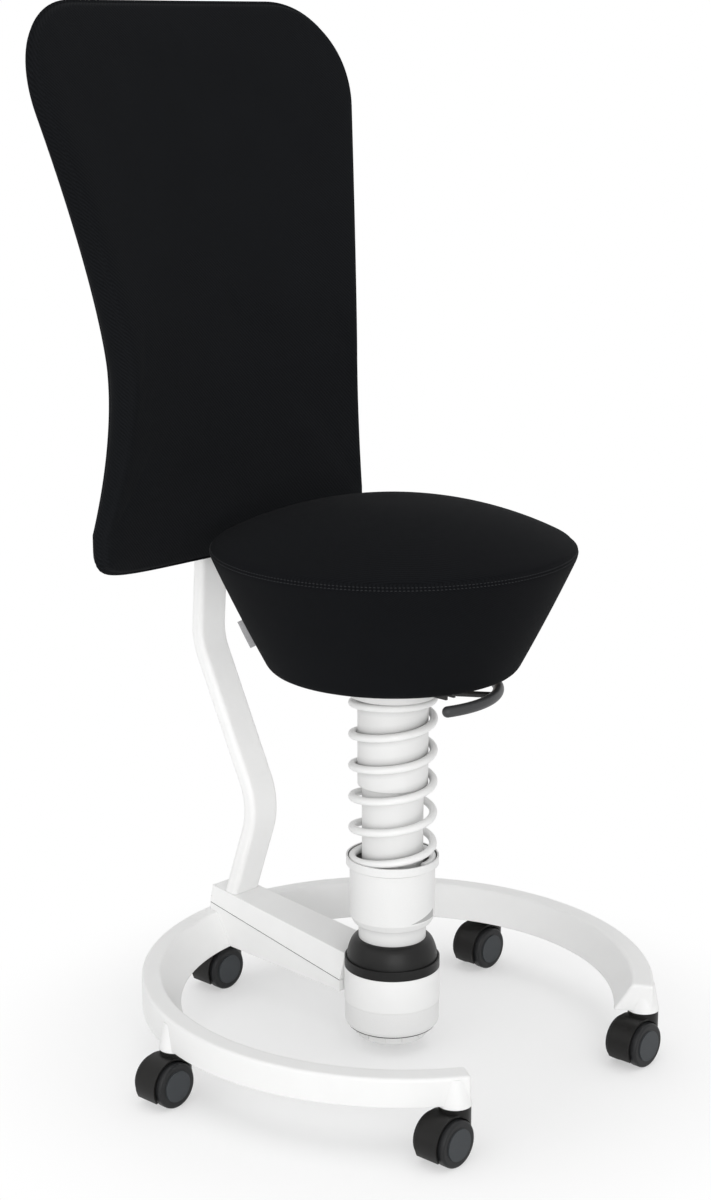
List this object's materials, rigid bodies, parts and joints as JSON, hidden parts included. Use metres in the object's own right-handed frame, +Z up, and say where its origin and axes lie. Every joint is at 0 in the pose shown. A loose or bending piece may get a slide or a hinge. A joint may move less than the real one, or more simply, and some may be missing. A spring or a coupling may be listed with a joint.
{
  "type": "active sitting stool",
  "caption": "Active stool with a sprung tilting column, round padded seat, tall padded back on a bent upright and an open ring base on castors.",
  "frame": {"origin": "the column's axis at the floor, at rest", "axes": "+Z up along the column, -Y the way the sitter faces, +X the sitter's left"},
  "size_m": [0.591, 0.6002, 1.141],
  "materials": {
    "frame_paint": "satin white powder coat",
    "column_paint": "satin white",
    "cup_plastic": "satin white",
    "spring_paint": "satin white",
    "rubber": "soft black",
    "steel": "plain",
    "bush_plastic": "plain",
    "knob_plastic": "satin white",
    "hood_plastic": "satin black",
    "wheel_plastic": "dark grey",
    "seat_fabric": "fine black twill",
    "back_fabric": "fine black twill",
    "label_cloth": "bare grey tape",
    "board": "plain plywood",
    "shell_plastic": "fine matt black",
    "lever_plastic": "dark grey",
    "lever_steel": "black"
  },
  "bodies": {
    "base": {"base_frame": "frame_paint", "hub_cup": "cup_plastic", "rubber_collar": "rubber", "lower_yoke": "steel", "tilt_elastomer": "rubber", "back_upright": "frame_paint", "shoe_bolts": "steel", "back_mount_plate": "shell_plastic", "back_screws": "steel", "back_shell": "shell_plastic", "back_cushion": "back_fabric"},
    "knob": {"tilt_knob": "knob_plastic"},
    "cross": {"tilt_cross": "steel"},
    "column": {"column_neck": "column_paint", "dome_cap": "rubber", "lower_tube": "column_paint", "coil_spring": "spring_paint"},
    "cup": {"spring_cup": "cup_plastic"},
    "sleeve": {"tube_bush": "bush_plastic", "upper_sleeve": "column_paint", "spring_flange": "column_paint", "gas_stand_tube": "steel", "gas_guide_bush": "bush_plastic", "gas_rod": "steel"},
    "gas_lift": {"gas_cylinder": "steel"},
    "seat": {"seat_plate": "steel", "seat_pan": "board", "seat_screws": "steel", "seat_cushion": "seat_fabric", "label_tab": "label_cloth", "lever_bracket": "steel", "lever_pin": "steel"},
    "lever": {"release_lever": "lever_steel", "lever_grip": "lever_plastic"},
    "castor_1": {"castor_1_stem": "steel", "castor_1_hood": "hood_plastic", "castor_1_axle": "steel"},
    "castor_1_left": {"castor_1_wheel_left": "wheel_plastic"},
    "castor_1_right": {"castor_1_wheel_right": "wheel_plastic"},
    "castor_2": {"castor_2_stem": "steel", "castor_2_hood": "hood_plastic", "castor_2_axle": "steel"},
    "castor_2_left": {"castor_2_wheel_left": "wheel_plastic"},
    "castor_2_right": {"castor_2_wheel_right": "wheel_plastic"},
    "castor_3": {"castor_3_stem": "steel", "castor_3_hood": "hood_plastic", "castor_3_axle": "steel"},
    "castor_3_left": {"castor_3_wheel_left": "wheel_plastic"},
    "castor_3_right": {"castor_3_wheel_right": "wheel_plastic"},
    "castor_4": {"castor_4_stem": "steel", "castor_4_hood": "hood_plastic", "castor_4_axle": "steel"},
    "castor_4_left": {"castor_4_wheel_left": "wheel_plastic"},
    "castor_4_right": {"castor_4_wheel_right": "wheel_plastic"},
    "castor_5": {"castor_5_stem": "steel", "castor_5_hood": "hood_plastic", "castor_5_axle": "steel"},
    "castor_5_left": {"castor_5_wheel_left": "wheel_plastic"},
    "castor_5_right": {"castor_5_wheel_right": "wheel_plastic"}
  },
  "joints": [
    {"name": "tilt_front_back", "type": "hinge", "parent": "base", "child": "cross", "pos_m": [0, 0, 0.1024], "axis": [1, 0, 0], "range_deg": [-3, 7], "stiffness_Nm_per_rad": 600, "deforming": ["tilt_elastomer"]},
    {"name": "tilt_side", "type": "hinge", "parent": "cross", "child": "column", "pos_m": [0, 0, 0.1024], "axis": [0, 1, 0], "range_deg": [-7, 7], "stiffness_Nm_per_rad": 600},
    {"name": "cup_turn", "type": "hinge", "parent": "column", "child": "cup", "pos_m": [0, 0, 0.191], "axis": [0, 0, 1], "range_deg": [0, 270]},
    {"name": "bounce", "type": "slide", "parent": "column", "child": "sleeve", "axis": [0, 0, 1], "range_m": [-0.045, 0], "stiffness_N_per_m": 8000, "springref_m": 0.03, "deforming": ["coil_spring"]},
    {"name": "height", "type": "slide", "parent": "sleeve", "child": "gas_lift", "axis": [0, 0, 1], "range_m": [0, 0.09]},
    {"name": "seat_swivel", "type": "hinge", "parent": "gas_lift", "child": "seat", "pos_m": [0, 0, 0.441], "axis": [0, 0, 1], "continuous": true},
    {"name": "lever_pull", "type": "hinge", "parent": "seat", "child": "lever", "pos_m": [0.004, -0.07, 0.4265], "axis": [-1, 0, 0], "range_deg": [0, 4.5], "stiffness_Nm_per_rad": 2, "springref_deg": -5.73},
    {"name": "knob_turn", "type": "hinge", "parent": "base", "child": "knob", "pos_m": [0, 0, 0.02], "axis": [0, 0, 1], "range_deg": [0, 330]},
    {"name": "castor_1_swivel", "type": "hinge", "parent": "base", "child": "castor_1", "pos_m": [0.16105, -0.22967, 0.0576], "axis": [0, 0, 1], "continuous": true},
    {"name": "castor_1_spin_left", "type": "hinge", "parent": "castor_1", "child": "castor_1_left", "pos_m": [0.14405, -0.22967, 0.025], "axis": [0, 1, 0], "continuous": true},
    {"name": "castor_1_spin_right", "type": "hinge", "parent": "castor_1", "child": "castor_1_right", "pos_m": [0.14405, -0.22967, 0.025], "axis": [0, 1, 0], "continuous": true},
    {"name": "castor_2_swivel", "type": "hinge", "parent": "base", "child": "castor_2", "pos_m": [0.26059, 0.07667, 0.0576], "axis": [0, 0, 1], "continuous": true},
    {"name": "castor_2_spin_left", "type": "hinge", "parent": "castor_2", "child": "castor_2_left", "pos_m": [0.24359, 0.07667, 0.025], "axis": [0, 1, 0], "continuous": true},
    {"name": "castor_2_spin_right", "type": "hinge", "parent": "castor_2", "child": "castor_2_right", "pos_m": [0.24359, 0.07667, 0.025], "axis": [0, 1, 0], "continuous": true},
    {"name": "castor_3_swivel", "type": "hinge", "parent": "base", "child": "castor_3", "pos_m": [0, 0.266, 0.0576], "axis": [0, 0, 1], "continuous": true},
    {"name": "castor_3_spin_left", "type": "hinge", "parent": "castor_3", "child": "castor_3_left", "pos_m": [-0.017, 0.266, 0.025], "axis": [0, 1, 0], "continuous": true},
    {"name": "castor_3_spin_right", "type": "hinge", "parent": "castor_3", "child": "castor_3_right", "pos_m": [-0.017, 0.266, 0.025], "axis": [0, 1, 0], "continuous": true},
    {"name": "castor_4_swivel", "type": "hinge", "parent": "base", "child": "castor_4", "pos_m": [-0.26059, 0.07667, 0.0576], "axis": [0, 0, 1], "continuous": true},
    {"name": "castor_4_spin_left", "type": "hinge", "parent": "castor_4", "child": "castor_4_left", "pos_m": [-0.27759, 0.07667, 0.025], "axis": [0, 1, 0], "continuous": true},
    {"name": "castor_4_spin_right", "type": "hinge", "parent": "castor_4", "child": "castor_4_right", "pos_m": [-0.27759, 0.07667, 0.025], "axis": [0, 1, 0], "continuous": true},
    {"name": "castor_5_swivel", "type": "hinge", "parent": "base", "child": "castor_5", "pos_m": [-0.16105, -0.22967, 0.0576], "axis": [0, 0, 1], "continuous": true},
    {"name": "castor_5_spin_left", "type": "hinge", "parent": "castor_5", "child": "castor_5_left", "pos_m": [-0.17805, -0.22967, 0.025], "axis": [0, 1, 0], "continuous": true},
    {"name": "castor_5_spin_right", "type": "hinge", "parent": "castor_5", "child": "castor_5_right", "pos_m": [-0.17805, -0.22967, 0.025], "axis": [0, 1, 0], "continuous": true}
  ]
}
